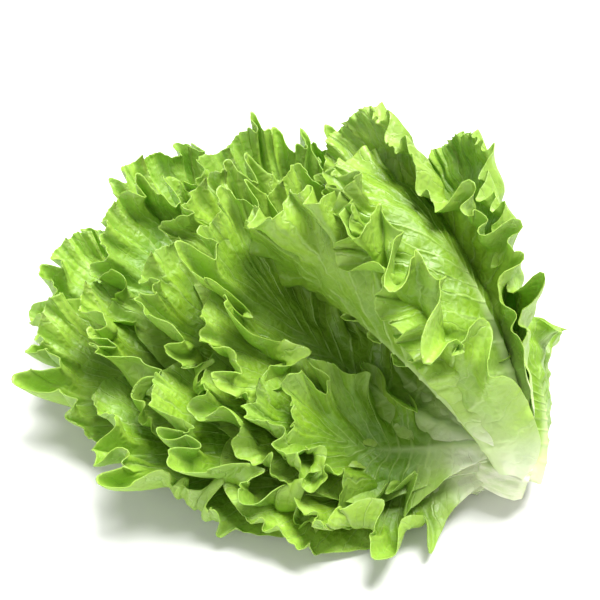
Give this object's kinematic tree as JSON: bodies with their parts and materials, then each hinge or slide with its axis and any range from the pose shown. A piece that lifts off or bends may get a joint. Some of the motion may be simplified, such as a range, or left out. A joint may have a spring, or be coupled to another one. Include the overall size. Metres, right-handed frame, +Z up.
{
  "type": "lettuce head",
  "caption": "Head of green curly leaf lettuce lying on its side, frilled leaves fanning from a cut stem.",
  "frame": {"origin": "centre of the head's box in plan, at the height of its lowest face, where it lies on a surface", "axes": "+X along the head's length, towards the cut stem; +Z up; -Y towards the side that the picture looks at"},
  "size_m": [0.2752, 0.2396, 0.1408],
  "materials": {
    "leaf_green": "satin, softly blistered leaf",
    "stem_green": "moist cut stem"
  },
  "bodies": {
    "root": {"stem": "stem_green", "leaf_01": "leaf_green", "leaf_02": "leaf_green", "leaf_03": "leaf_green", "leaf_04": "leaf_green", "leaf_05": "leaf_green", "leaf_06": "leaf_green", "leaf_07": "leaf_green", "leaf_08": "leaf_green", "leaf_09": "leaf_green", "leaf_10": "leaf_green", "leaf_11": "leaf_green", "leaf_12": "leaf_green", "leaf_13": "leaf_green", "leaf_14": "leaf_green", "leaf_15": "leaf_green", "leaf_16": "leaf_green", "leaf_17": "leaf_green", "leaf_18": "leaf_green", "leaf_19": "leaf_green", "ridge_leaf": "leaf_green", "hood_leaf": "leaf_green", "back_leaf": "leaf_green", "side_leaf": "leaf_green", "top_leaf": "leaf_green"}
  },
  "joints": []
}
